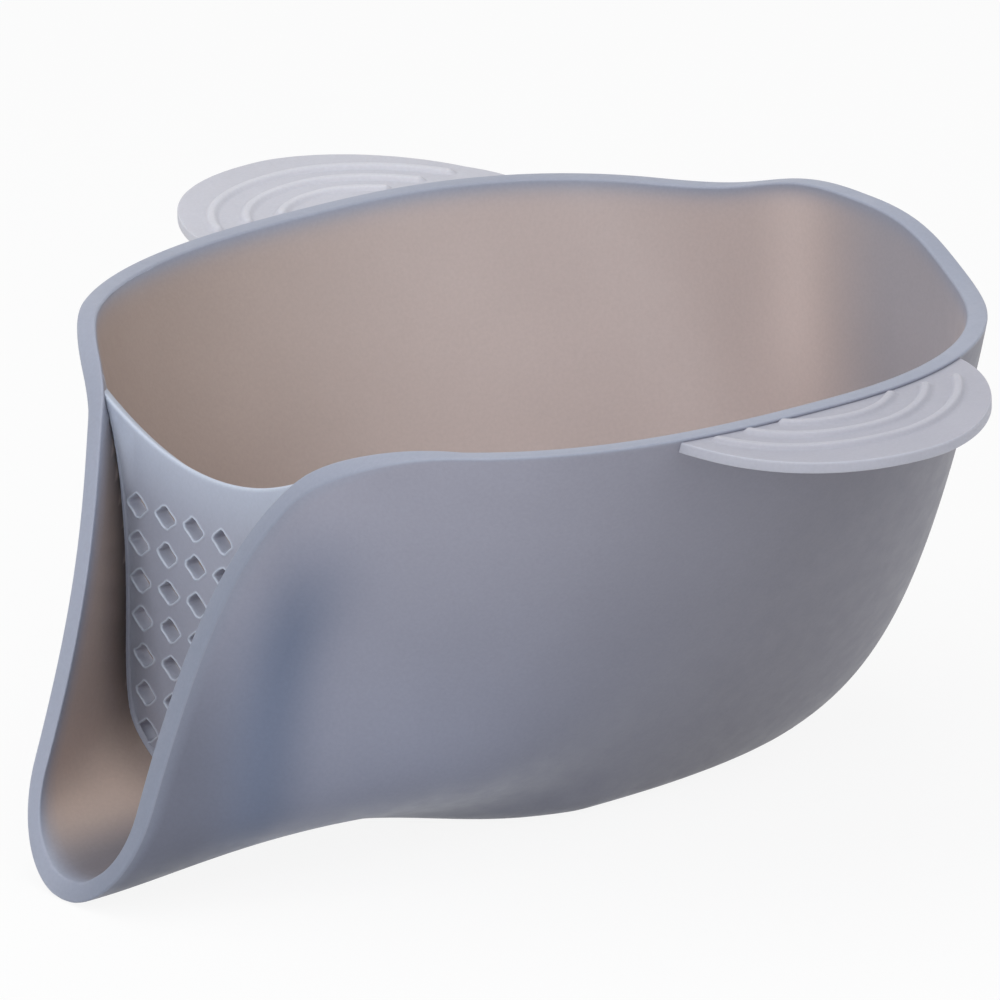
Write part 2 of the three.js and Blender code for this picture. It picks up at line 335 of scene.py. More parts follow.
def spout_half_width(x, z):
    bottom = np.clip(z / SPOUT_BOTTOM_DEPTH, 0, 1)
    trough = SPOUT_HALF_WIDTH * np.sqrt(1 - (1 - bottom) ** 2)
    flare = SPOUT_FLARE * np.clip(z / TOP_HEIGHT, 0, 1) ** SPOUT_FLARE_POWER
    behind = x - lip_x(z)
    run = behind / np.sqrt(1 + (behind / SPOUT_REACH) ** 2)
    spread = SPOUT_SPREAD * (1 - np.exp(-(np.maximum(z, 0) / SPOUT_SPREAD_HEIGHT) ** SPOUT_SPREAD_POWER))
    return trough + flare + spread * run


def hull_half_width(x, z):
    tub = tub_half_width(x, z)
    middle = mix(BASE_MIDDLE, TOP_MIDDLE, turn_share(z, SIDE_TURN))
    near = smoothstep(middle - x, 0, SPOUT_FADE)
    spout = spout_half_width(x, z)
    round_bottom = mix(1, KEEL_SHARE, smoothstep(-x, *KEEL_BAND))
    joined = mix(np.maximum(tub, spout), smooth_max(tub, spout, SPOUT_BLEND), round_bottom)
    return mix(tub, joined, near)


def arch_lift(x, z):
    along = np.clip((x + LENGTH / 2) / ARCH_LENGTH, 0, 1)
    left = np.maximum(1 - z / ARCH_HEIGHT, 0)
    return ARCH_RISE * (np.sin(np.pi * along) * left) ** 2


# Shares along a level outline run from before the lip (0) to the middle of the back (1) and round the far side
def hull_point(share, z):
    near = np.where(share > 1, 2 - share, share)
    x = mix(lip_x(z) - CUT_MARGIN, back_end(z), np.sin(near * np.pi / 2))
    y = hull_half_width(x, z) * np.where(share > 1, 1, -1)
    return np.stack([x, y, z + arch_lift(x, z)], axis=-1)


def hull_share(x, z):
    start = lip_x(z) - CUT_MARGIN
    return np.arcsin(np.clip((x - start) / (back_end(z) - start), 0, 1)) * 2 / np.pi


# Point of the near half at a depth under the outer skin; over the flat base the depth is measured upright
def skin(x, z, depth):
    share = hull_share(x, z)
    step = np.minimum(HEIGHT_STEP, HEIGHT_STEP_SHARE * z + LEAST_HEIGHT_STEP)
    along = hull_point(share + SHARE_STEP, z) - hull_point(share - SHARE_STEP, z)
    rise = hull_point(share, z + step) - hull_point(share, np.maximum(z - step, 0))
    normal = unit(np.cross(along, rise))
    upright = smoothstep(z, 0, SOLE_BLEND)[..., None]
    normal = unit(mix(np.array([0.0, 0.0, -1.0]), normal, upright))
    return hull_point(share, z) - depth * normal


# Side view of the lip up to the level rim: x and outward direction by height, for an inset edge
def lip_profile(inset):
    lean = np.array([LIP_LEAN, 1.0]) / math.hypot(LIP_LEAN, 1.0)
    risen = LIP_TURN_START + LIP_TURN_RISE
    first = np.array([lip_x(LIP_TURN_START), LIP_TURN_START])
    second = np.array([lip_x(risen), risen])
    third = np.array([LIP_TURN_END - LIP_TURN_RUN, RIM_HEIGHT])
    last = np.array([LIP_TURN_END, RIM_HEIGHT])
    t = np.linspace(0, 1, LIP_PROFILE_STEPS)[:, None]
    s = 1 - t
    curve = first * s ** 3 + 3 * second * t * s ** 2 + 3 * third * t ** 2 * s + last * t ** 3
    tangent = unit((second - first) * s ** 2 + 2 * (third - second) * t * s + (last - third) * t ** 2)
    points = np.vstack([[lip_x(LIP_PROFILE_FOOT), LIP_PROFILE_FOOT], curve])
    tangent = np.vstack([lean, tangent])
    outward = np.stack([-tangent[:, 1], tangent[:, 0]], axis=-1)
    edge = points - inset * outward
    return edge[:, 0], edge[:, 1], outward


# How far the rim stands above its usual height at a half width, across the back
def rim_rise(half_width):
    t = np.linspace(0, 1, RIM_RISE_STEPS)
    halfway = (BACK_RISE_FOOT + BACK_RISE_TOP) / 2
    across = BACK_RISE_FOOT * (1 - t) ** 3 + 3 * halfway * t * (1 - t) + BACK_RISE_TOP * t ** 3
    height = BACK_RISE * (3 * t ** 2 - 2 * t ** 3)
    return np.interp(half_width, across[::-1], height[::-1])


# Cross-section of a rounded edge: pairs of depth under the face and inset from the edge
def edge_section(thickness, radius):
    angles = np.linspace(0, np.pi / 2, ROUND_STEPS + 1)
    first = [(radius - radius * math.cos(a), radius - radius * math.sin(a)) for a in angles]
    last = [(thickness - depth, inset) for depth, inset in reversed(first)]
    return first + last


class Body:
    """Points, faces and point values of one mesh in the making."""

    def __init__(self):
        self.points = []
        self.faces = []
        self.values = {}

    def add(self, points, **values):
        first = len(self.points)
        points = np.asarray(points, dtype=float)
        flat = points.reshape(-1, 3)
        self.points.extend(flat.tolist())
        for name, value in values.items():
            column = self.values.setdefault(name, [])
            column.extend([0.0] * (first - len(column)))
            column.extend(np.broadcast_to(value, points.shape[:-1]).ravel().tolist())
        return first + np.arange(len(flat)).reshape(points.shape[:-1])

    def strip(self, row, following, closed=False):
        count = len(row)
        for i in range(count if closed else count - 1):
            k = (i + 1) % count
            corners = []
            for corner in (row[i], row[k], following[k], following[i]):
                if corner not in corners:
                    corners.append(int(corner))
            if len(corners) > 2:
                self.faces.append(corners)

    def sheet(self, grid, flip=False):
        for row, following in zip(grid[:-1], grid[1:]):
            if flip:
                self.strip(following, row)
            else:
                self.strip(row, following)

    def piece(self, name, material, node, slot):
        mesh = bpy.data.meshes.new(name)
        mesh.from_pydata((np.array(self.points) * MM).tolist(), [], self.faces)
        mesh.validate()
        mesh.polygons.foreach_set("use_smooth", [True] * len(mesh.polygons))
        for label, column in self.values.items():
            column.extend([0.0] * (len(self.points) - len(column)))
            mesh.attributes.new(label, "FLOAT", "POINT").data.foreach_set("value", column)
        mesh.materials.append(material)
        piece = bpy.data.objects.new(name, mesh)
        bpy.context.scene.collection.objects.link(piece)
        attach(piece, "root")
        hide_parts(node)


# Shell

def mirrored(grid):
    return np.concatenate([grid, grid[:, -2::-1] * MIRROR], axis=1)


def row_heights():
    top = RIM_HEIGHT - RIM_ROUND
    base = BASE_ROWS_TOP * (np.arange(BASE_ROWS) / BASE_ROWS) ** BASE_ROWS_POWER
    base = base[(base == 0) | (base > SOLE_EDGE)]
    side = np.linspace(BASE_ROWS_TOP, TURN_ROWS_START, SIDE_ROWS, endpoint=False)
    turn = top - (top - TURN_ROWS_START) * np.linspace(1, 0, TURN_ROWS + 1) ** 2
    return np.concatenate([base, side, turn])


# Foot of a rim layer: the place on the hull whose point at that depth lies on the cut edge.
# Near the sole it is sought along x alone, so that it stays above the sole.
def rim_layer(x, z, outward, depth, inset):
    target = np.stack([x, z], axis=-1) + (RIM_ROUND - inset) * outward
    step = outward * np.stack([np.ones_like(z), smoothstep(z, 0, LIP_LOW)], axis=-1)
    step /= (step * outward).sum(axis=-1, keepdims=True)
    foot = np.stack([x, z], axis=-1)
    for _ in range(RIM_LAYER_ROUNDS):
        miss = ((skin(foot[:, 0], foot[:, 1], depth)[:, [0, 2]] - target) * outward).sum(axis=-1)
        foot -= miss[:, None] * step
        foot[:, 1] = np.maximum(foot[:, 1], 0)
    return foot


# Painted shade: the near side of the lip is made darker than the rim
def lip_dim(points):
    x, y, _ = np.moveaxis(points, -1, 0)
    return (1 - smoothstep(y, *LIP_SHADE_ACROSS)) * smoothstep(-x, *LIP_SHADE_AHEAD)


# Painted shade on the outside: darker low down, to the rear, under the spout and in a band where the strainer
# shows through the wall
def outer_tints(points):
    x, _, z = np.moveaxis(points, -1, 0)
    # Painted shade: a dark band where the strainer blocks the light that shows through the thin wall
    strainer_shade_x = mix(STRAINER_SHADE_FOOT, STRAINER_SHADE_HEAD, smoothstep(z, *STRAINER_SHADE_LEAN))
    strainer_shade = np.exp(-((x - strainer_shade_x) / STRAINER_SHADE_WIDTH) ** 2)
    return {
        "low": 1 - smoothstep(z, *LOW_SHADE_HEIGHT),
        "rear": smoothstep(x, *REAR_SHADE_ALONG),
        "ahead": smoothstep(-x, *AHEAD_SHADE_ALONG) * (1 - smoothstep(z, *AHEAD_SHADE_HEIGHT)),
        "strainer_shade": strainer_shade * smoothstep(z, *STRAINER_SHADE_START) * (1 - smoothstep(z, *STRAINER_SHADE_END)),
        "dim": lip_dim(points),
    }


# Tints of the inside: browner towards the front, painted shade at the back and in the spout's near side,
# trough and crease, a painted highlight in the back corner and painted light in the spout
def inner_tints(points):
    x, y, z = np.moveaxis(points, -1, 0)
    # Painted highlight: a lighter band down the inside's back corner
    corner = np.exp(-((y - CORNER_HIGHLIGHT_MIDDLE) / CORNER_HIGHLIGHT_WIDTH) ** 2)
    before = STRAINER_FRONT - x
    spout = smoothstep(before, *SPOUT_BEFORE)
    near = 1 - smoothstep(y, *SHADE_ACROSS)
    # Painted shade: a dark crease where the spout's far wall meets the strainer
    crease_shade = np.where(before > CREASE_START, np.exp(-np.maximum(before, 0) / CREASE_WIDTH), 0)
    return {
        "brown": 1 - smoothstep(x, *BROWN_ALONG),
        "gray_shade": smoothstep(x, *GRAY_SHADE_ALONG) * (1 - smoothstep(y, *GRAY_SHADE_ACROSS)),
        "corner": corner * smoothstep(x, *CORNER_HIGHLIGHT_ALONG) * smoothstep(z, *CORNER_HIGHLIGHT_HEIGHT),
        # Painted light: the inside of the spout is made lighter
        "spout": spout,
        "shade": spout * near * SHADE_SHARE,
        # Painted shade: darker at the bottom of the spout, most on its near side
        "trough": spout * (1 - smoothstep(z, *TROUGH_SHADE_HEIGHT)) * mix(TROUGH_SHADE_FAR_SHARE, 1, near),
        "crease_shade": crease_shade * smoothstep(z, *CREASE_HEIGHT),
        "dim": lip_dim(points),
    }


def shell_piece(material):
    edge_x, edge_z, edge_out = lip_profile(RIM_ROUND)
    rows = row_heights()
    share = np.linspace(0, 1, HULL_COLUMNS + 1)
    along = np.sin(share * np.pi / 2)
    start = np.interp(rows, edge_z, edge_x)
    rise = np.zeros_like(along)
    for _ in range(RIM_RISE_ROUNDS):
        rim_x = mix(start[-1], back_end(RIM_HEIGHT + rise), along)
        rise = rim_rise(hull_half_width(rim_x, RIM_HEIGHT + rise))
    z = rows[:, None] + rise[None, :] * smoothstep(rows, RIM_RISE_START, rows[-1])[:, None]
    x = mix(start[:, None], back_end(z), along[None, :])

    lip_out = np.stack([np.interp(rows, edge_z, edge_out[:, axis]) for axis in (0, 1)], axis=-1)
    rim_out = np.tile([0.0, 1.0], (HULL_COLUMNS, 1))
    border_x = np.concatenate([x[:, 0], x[-1, 1:]])
    border_z = np.concatenate([z[:, 0], z[-1, 1:]])
    border_out = np.vstack([lip_out, rim_out])

    outer = skin(x, z, 0)
    foot = rim_layer(border_x, border_z, border_out, WALL, RIM_ROUND)
    shift = foot - np.stack([border_x, border_z], axis=-1)
    lip_shift = shift[: len(rows)]
    rim_shift = shift[len(rows) - 1:]
    near_lip = np.exp(-(share / LIP_REACH) ** 2)[None, :, None]
    near_rim = np.exp(-((rows[-1] - rows) / RIM_REACH) ** 2)[:, None, None]
    spread = lip_shift[:, None] * near_lip + rim_shift[None] * near_rim - lip_shift[-1] * near_lip * near_rim
    inner = skin(x + spread[..., 0], np.maximum(z + spread[..., 1], 0), WALL)

    layers = []
    for depth, inset in edge_section(WALL, RIM_ROUND)[1:-1]:
        foot = rim_layer(border_x, border_z, border_out, depth, inset)
        layers.append(skin(foot[:, 0], foot[:, 1], depth))
    for surface in (outer, inner):
        surface[:, -1, 1] = 0
    for layer in layers:
        layer[-1, 1] = 0

    body = Body()
    to_edge = np.minimum(rows[-1] + rise[None, :] - z, (x - start[:, None]) * LIP_SLOPE)
    outer_full = mirrored(outer)
    inner_full = mirrored(inner)
    edge_full = np.concatenate([to_edge, to_edge[:, -2::-1]], axis=1)
    outer_edge = OUTER_EDGE_TINT * np.exp(-(edge_full / OUTER_EDGE_WIDTH) ** 2)
    inner_edge = np.exp(-(edge_full / INNER_EDGE_WIDTH) ** INNER_EDGE_POWER)
    outer_ids = body.add(outer_full, inside=0.0, edge=outer_edge, **outer_tints(outer_full))
    inner_ids = body.add(inner_full, inside=1.0, edge=inner_edge, **inner_tints(inner_full))
    body.sheet(outer_ids)
    body.sheet(inner_ids, flip=True)

    across = np.linspace(1, -1, FLOOR_STRIPS + 1)[1:-1]
    floors = []
    sides = ((outer_ids, outer, outer_edge, 0.0), (inner_ids, inner, inner_edge, 1.0))
    for ids, surface, edge, inside in sides:
        low = surface[0, :-1]
        between = np.stack([np.stack([low[:, 0], low[:, 1] * f, low[:, 2]], axis=-1) for f in across], axis=1)
        tints = inner_tints(between) if inside else outer_tints(between)
        middle_ids = body.add(between, inside=inside, edge=edge[0, :len(low), None], **tints)
        last = len(low)
        grid = np.empty((last + 1, FLOOR_STRIPS + 1), dtype=int)
        grid[:-1, 0] = ids[0, :last]
        grid[:-1, 1:-1] = middle_ids
        grid[:-1, -1] = ids[0, :last:-1]
        grid[-1] = ids[0, last]
        body.sheet(grid, flip=inside == 1.0)
        floors.append(grid)

    loop_ids = []
    for ids, grid in ((outer_ids, floors[0]), (inner_ids, floors[1])):
        near_lip_ids = ids[:, 0]
        rim_ids = ids[-1, 1:-1]
        far_lip_ids = ids[::-1, -1]
        loop_ids.append(np.concatenate([near_lip_ids, rim_ids, far_lip_ids, grid[0, -2:0:-1]]))
    middle_layers = []
    for layer in layers:
        far = layer[-2::-1] * MIRROR
        tip = np.stack([layer[0] * np.array([1, f, 1]) for f in across[::-1]])
        loop = np.concatenate([layer, far, tip])
        middle_layers.append(body.add(loop, inside=0.5, edge=1.0, dim=lip_dim(loop)))
    order = [loop_ids[0], *middle_layers, loop_ids[1]]
    for row, following in zip(order[:-1], order[1:]):
        body.strip(row, following, closed=True)
    body.piece("silicone_shell", material, "basket_shell", "tub_silicone")


# Strainer wall

# Half width of the inside at places in the side view
def inner_half_width(x, z):
    target = np.stack([x, z], axis=-1)
    foot = target.copy()
    for _ in range(INNER_ROUNDS):
        foot += target - skin(foot[..., 0], foot[..., 1], WALL)[..., [0, 2]]
        foot[..., 1] = np.maximum(foot[..., 1], 0)
    return -skin(foot[..., 0], foot[..., 1], WALL)[..., 1]


# One side of the wall's meeting line at a given x, from the top down to the middle of the floor, as y and z
def wall_line(x):
    steps = np.linspace(1, 0, WALL_LINE_STEPS)
    y = np.full(WALL_LINE_STEPS, WALL_LINE_GUESS)
    floor_z = WALL + float(arch_lift(x, 0.0))
    for _ in range(WALL_LINE_ROUNDS):
        top = STRAINER_TOP + STRAINER_TOP_BEND * y[0] ** 2
        z = floor_z + (top - floor_z) * steps ** 2
        y = inner_half_width(np.full(WALL_LINE_STEPS, float(x)), z)
    floor = np.linspace(1, 0, FLOOR_LINE_STEPS + 1)[1:]
    y = np.concatenate([y, y[-1] * floor])
    z = np.concatenate([z, np.full(FLOOR_LINE_STEPS, floor_z)])
    return np.stack([y, z], axis=-1)


def outward_of(line):
    tangent = unit(np.gradient(line, axis=0))
    return np.stack([-tangent[:, 1], tangent[:, 0]], axis=-1)


# Diamond with rounded corners, as y and z about its middle
def hole_outline():
    corners = [
        ((0.65, -0.35), (1.1, 0.0), (0.65, 0.35)),
        ((0.35, 0.65), (0.0, 1.1), (-0.35, 0.65)),
        ((-0.65, 0.35), (-1.1, 0.0), (-0.65, -0.35)),
        ((-0.35, -0.65), (0.0, -1.1), (0.35, -0.65)),
    ]
    points = []
    for first, control, last in np.array(corners):
        for t in np.linspace(0, 1, CORNER_STEPS):
            points.append(first * (1 - t) ** 2 + 2 * control * t * (1 - t) + last * t ** 2)
    return np.array(points) * np.array([HOLE_WIDTH / 2, HOLE_HEIGHT / 2])


# Which places lie within a closed outline
def within(places, outline):
    inside = np.zeros(len(places), dtype=bool)
    for (ay, az), (by, bz) in zip(outline, np.roll(outline, -1, axis=0)):
        spans = (az > places[:, 1]) != (bz > places[:, 1])
        crossing = ay + (by - ay) * (places[:, 1] - az) / (bz - az if bz != az else 1)
        inside ^= spans & (places[:, 0] < crossing)
    return inside


def strainer_piece(material):
    front = STRAINER_FRONT
    back = STRAINER_FRONT + STRAINER_THICKNESS
    lines = {x: wall_line(x) for x in (front - STRAINER_FILLET, front, back, back + STRAINER_FILLET)}
    body = Body()

    # Closed outline at a depth under the front face: bedded in the shell wall, rounded along the top
    def outline(depth, inset):
        line = mix(lines[front], lines[back], depth / STRAINER_THICKNESS)
        side = line + STRAINER_BED * outward_of(line)
        side[-1, 0] = 0
        far = side[-2::-1] * np.array([-1, 1])
        half = side[0, 0]
        y = np.linspace(-half, half, CREST_STEPS)
        top = np.stack([y, STRAINER_TOP + STRAINER_TOP_BEND * y ** 2 - inset], axis=-1)
        side[0, 1] = top[-1, 1]
        far[-1, 1] = top[0, 1]
        return np.concatenate([side, far, top[1:-1]])

    def at(depth, flat):
        return np.concatenate([np.full((len(flat), 1), front + depth), flat], axis=1)

    guard = outline(0, STRAINER_CREST[0][1] + CREST_GUARD)
    # Edge values mark where the painted highlight along the top edge falls
    rings = [body.add(at(0, guard), edge=0.1)]
    rings += [body.add(at(depth, outline(depth, inset)), edge=0.7) for depth, inset in STRAINER_CREST]
    guard_back = outline(STRAINER_THICKNESS, STRAINER_CREST[-1][1] + CREST_GUARD)
    rings.append(body.add(at(STRAINER_THICKNESS, guard_back), edge=0.1))
    for row, following in zip(rings[:-1], rings[1:]):
        body.strip(following, row, closed=True)

    shape = hole_outline()
    mean = np.linalg.norm(shape, axis=1).mean()
    turn = np.linspace(0, 2 * np.pi, len(shape), endpoint=False)
    bed = lines[front] + STRAINER_BED * outward_of(lines[front])
    fronts = []
    backs = []
    for column in range(HOLE_COLUMNS):
        for row in range(HOLE_ROWS):
            middle = np.array([
                (column - (HOLE_COLUMNS - 1) / 2) * HOLE_COLUMN_PITCH,
                HOLE_TOP_ROW - row * HOLE_ROW_PITCH,
            ])
            uneven = sum(
                height * np.sin(waves * turn + by_column * column + by_row * row)
                for height, waves, by_column, by_row in HOLE_WAVES
            )
            own = shape * (1 + uneven)[:, None]
            loops = []
            for growth, depth, edge in HOLE_RINGS:
                flat = middle + own * (1 + growth / mean)
                room = np.interp(flat[:, 1], bed[::-1, 1], bed[::-1, 0])
                room = room - HOLE_BORDER + HOLE_BORDER_GROWTH * growth
                flat[:, 0] = np.clip(flat[:, 0], -room, room)
                loops.append(body.add(at(depth, flat), edge=edge))
            for ring, following in zip(loops[:-1], loops[1:]):
                body.strip(following, ring, closed=True)
            fronts.append(loops[0])
            backs.append(loops[-1])

    # Both faces of the plate, with the holes left open
    for border, holes, flip in ((rings[0], fronts, True), (rings[-1], backs, False)):
        ids = np.concatenate([border, *holes])
        flat = [tuple(body.points[i][1:]) for i in ids]
        edges = []
        first = 0
        for loop in (border, *holes):
            count = len(loop)
            edges += [(first + i, first + (i + 1) % count) for i in range(count)]
            first += count
        spots, _, faces, sources, _, _ = delaunay_2d_cdt(flat, edges, [], 1, 1e-7)
        middles = np.array([np.mean([spots[i][:] for i in face], axis=0) for face in faces])
        open_area = np.zeros(len(faces), dtype=bool)
        for hole in holes:
            open_area |= within(middles, np.array([body.points[i][1:] for i in hole]))
        for face, is_open in zip(faces, open_area):
            if not is_open:
                corners = [int(ids[sources[i][0]]) for i in face]
                body.faces.append(corners[::-1] if flip else corners)

    # Concave bead along the meeting line with the shell, before and behind the wall
    for face, toward in ((front, -1), (back, 1)):
        line = lines[face]
        wall = lines[face + toward * STRAINER_FILLET]
        inward = -outward_of(line)
        size = mix(FILLET_TOP_SHARE, 1, smoothstep(np.arange(len(line)), 0, FILLET_GROW_STEPS))[:, None]
        arcs = []
        for angle in np.linspace(0, np.pi / 2, FILLET_STEPS):
            off_plate = STRAINER_FILLET * (1 - math.sin(angle)) * size
            off_wall = STRAINER_FILLET * (1 - math.cos(angle)) * size
            flat = mix(line, wall, off_plate / STRAINER_FILLET) + inward * off_wall
            flat[-1, 0] = 0
            arcs.append(np.concatenate([face + toward * off_plate, flat], axis=1))
        heel = line - inward * FILLET_HEEL
        heel[-1, 0] = 0
        arcs.append(np.concatenate([np.full((len(line), 1), face - toward * FILLET_HEEL), heel], axis=1))
        loops = [body.add(np.concatenate([arc, arc[-2::-1] * MIRROR]), edge=0.05) for arc in arcs]
        for loop, following in zip(loops, loops[1:] + loops[:1]):
            if toward < 0:
                body.strip(following, loop)
            else:
                body.strip(loop, following)
        for end in (0, -1):
            cap = [int(loop[end]) for loop in loops]
            body.faces.append(cap if (end == 0) == (toward > 0) else cap[::-1])
    body.piece("silicone_strainer", material, "strainer_wall", "strainer_silicone")


# Grip ledges

# Part of a grip arc outside the hull, at an inset from the ledge's edge, as x and y from front to rear
def grip_arc(side, inset, count):
    end_inset = min(inset, RIB_SIDE_INSET) * RIB_END_INSET / RIB_SIDE_INSET + max(inset - RIB_SIDE_INSET, 0)
    reach = HANDLE_REACH - inset
    half_length = HANDLE_HALF_LENGTH - end_inset
    angle = np.linspace(np.pi, 0, ARC_STEPS)
    roundness = np.where(angle > np.pi / 2, HANDLE_FRONT_ROUNDNESS, HANDLE_REAR_ROUNDNESS)
    along = np.sign(np.cos(angle)) * np.abs(np.cos(angle)) ** (2 / roundness)
    out = np.abs(np.sin(angle)) ** (2 / roundness)
    x = HANDLE_MIDDLE + side * HANDLE_SKEW + half_length * along
    y = mix(HANDLE_ROOT, reach, out)
    wall = hull_half_width(x, np.full_like(x, RIM_HEIGHT - HANDLE_DROP)) - HANDLE_BED
    kept = np.nonzero(y > wall)[0]
    if len(kept) < 2:
        return None
    points = np.stack([x, y], axis=-1)[kept[0]: kept[-1] + 1]
    run = np.concatenate([[0], np.cumsum(np.linalg.norm(np.diff(points, axis=0), axis=1))])
    places = np.linspace(0, run[-1], count)
    return np.stack([np.interp(places, run, points[:, axis]) for axis in (0, 1)], axis=-1)


# Height of the ribs over the ledge at places in plan
def rib_height(side, places):
    height = np.zeros(len(places))
    for number in range(RIB_COUNT):
        line = grip_arc(side, RIB_SIDE_INSET + number * RIB_PITCH, RIB_LINE_STEPS)
        line = line[line[:, 1] >= RIB_END]
        gaps = np.linalg.norm(places[:, None] - line[None], axis=-1).min(axis=1)
        fall = np.clip((gaps - RIB_FLAT) / RIB_FLANK, 0, 1)
        height = np.maximum(height, RIB_HEIGHT * (0.5 + 0.5 * np.cos(np.pi * fall)))
    return height


def handle_piece(name, node, side, material):
    top = RIM_HEIGHT - HANDLE_DROP
    inset = HANDLE_ROUND + HANDLE_GUARD
    insets = [HANDLE_ROUND, inset]
    while inset < HANDLE_REACH - HANDLE_ROOT:
        to_rib = min(abs(inset - RIB_SIDE_INSET - number * RIB_PITCH) for number in range(RIB_COUNT))
        inset += RIB_RING_STEP if to_rib < RIB_RING_REACH else RING_STEP
        if grip_arc(side, inset, HANDLE_COLUMNS) is not None:
            insets.append(inset)
    body = Body()
    # far marks the grip that is painted lighter
    far = float(side > 0)
    tilt = HANDLE_TILT_RIGHT if side > 0 else HANDLE_TILT_LEFT

    # Places in plan set at a height, on a ledge that bends a little up or down towards its outer edge
    def level(flat, z):
        bend = tilt * np.clip((flat[:, 1] - TOP_HALF_WIDTH) / (HANDLE_REACH - TOP_HALF_WIDTH), 0, 1)
        return np.concatenate([flat, (z + bend)[:, None]], axis=1) * np.array([1, side, 1])

    arcs = [grip_arc(side, inset, HANDLE_COLUMNS) for inset in insets]
    rings = []
    # The rib and edge values mark where painted highlights fall
    for arc in arcs[::-1]:
        ribs = rib_height(side, arc)
        rings.append(body.add(level(arc, top + ribs), rib=ribs / RIB_HEIGHT, edge=0.0, far=far))
    for depth, inset in edge_section(HANDLE_THICKNESS, HANDLE_ROUND)[1:-1]:
        arc = grip_arc(side, inset, HANDLE_COLUMNS)
        rings.append(body.add(level(arc, top - depth), rib=0.0, edge=1.0, far=far))
    for arc in arcs[::UNDERSIDE_EVERY] + arcs[-1:]:
        rings.append(body.add(level(arc, top - HANDLE_THICKNESS), rib=0.0, edge=0.0, far=far))
    for row, following in zip(rings, rings[1:] + rings[:1]):
        if side > 0:
            body.strip(row, following)
        else:
            body.strip(following, row)
    for end in (0, -1):
        cap = [int(ring[end]) for ring in rings]
        body.faces.append(cap if (end == 0) == (side > 0) else cap[::-1])
    body.piece(name, material, node, "grip_silicone")


# Materials

def new_material(name):
    material = bpy.data.materials.new(name)
    material.use_nodes = True
    tree = material.node_tree
    return material, tree, tree.nodes["Principled BSDF"]


# Linear colour of a six-digit code
def linear(code):
    channels = [int(code[i: i + 2], 16) / 255 for i in (0, 2, 4)]
    values = [c / 12.92 if c <= 0.04045 else ((c + 0.055) / 1.055) ** 2.4 for c in channels]
    return (*values, 1.0)


def attribute(tree, name):
    node = tree.nodes.new("ShaderNodeAttribute")
    node.attribute_name = name
    return node.outputs["Fac"]


def noise(tree, scale, detail):
    place = tree.nodes.new("ShaderNodeTexCoord")
    node = tree.nodes.new("ShaderNodeTexNoise")
    node.inputs["Scale"].default_value = scale
    node.inputs["Detail"].default_value = detail
    tree.links.new(place.outputs["Object"], node.inputs["Vector"])
    return node.outputs["Fac"]


def remap(tree, value, low, high, to_low, to_high):
    node = tree.nodes.new("ShaderNodeMapRange")
    for name, number in (("From Min", low), ("From Max", high), ("To Min", to_low), ("To Max", to_high)):
        node.inputs[name].default_value = number
    tree.links.new(value, node.inputs["Value"])
    return node.outputs["Result"]


def blend_colour(tree, factor, first, second):
    node = tree.nodes.new("ShaderNodeMix")
    node.data_type = "RGBA"
    tree.links.new(factor, node.inputs["Factor"])
    for socket, colour in ((node.inputs["A"], first), (node.inputs["B"], second)):
        if isinstance(colour, tuple):
            socket.default_value = colour
        else:
            tree.links.new(colour, socket)
    return node.outputs["Result"]


# Satin silicone: clouded and specked colour, uneven gloss, fine grain and a little light under the skin
def silicone(tree, shader, colour, roughness):
    cloud = remap(tree, noise(tree, 22, 2), 0.3, 0.7, 0.96, 1.04)
    speck = remap(tree, noise(tree, 1400, 3), 0.25, 0.75, 0.965, 1.035)
    tone = tree.nodes.new("ShaderNodeMath")
    tone.operation = "MULTIPLY"
    tree.links.new(cloud, tone.inputs[0])
    tree.links.new(speck, tone.inputs[1])
    shade = tree.nodes.new("ShaderNodeVectorMath")
    shade.operation = "SCALE"
    tree.links.new(colour, shade.inputs["Vector"])
    tree.links.new(tone.outputs["Value"], shade.inputs["Scale"])
    tree.links.new(shade.outputs["Vector"], shader.inputs["Base Color"])
    lowest, highest = roughness - ROUGHNESS_SPREAD, roughness + ROUGHNESS_SPREAD
    satin = remap(tree, noise(tree, 260, 4), 0.3, 0.7, lowest, highest)
    tree.links.new(satin, shader.inputs["Roughness"])
    bump = tree.nodes.new("ShaderNodeBump")
    bump.inputs["Strength"].default_value = 0.05
    bump.inputs["Distance"].default_value = 0.0002
    tree.links.new(noise(tree, 1900, 4), bump.inputs["Height"])
    tree.links.new(bump.outputs["Normal"], shader.inputs["Normal"])
    shader.inputs["Subsurface Weight"].default_value = SUBSURFACE
    shader.inputs["Subsurface Radius"].default_value = (1.0, 0.8, 0.7)
    shader.inputs["Subsurface Scale"].default_value = 0.003
    shader.inputs["IOR"].default_value = SILICONE_IOR


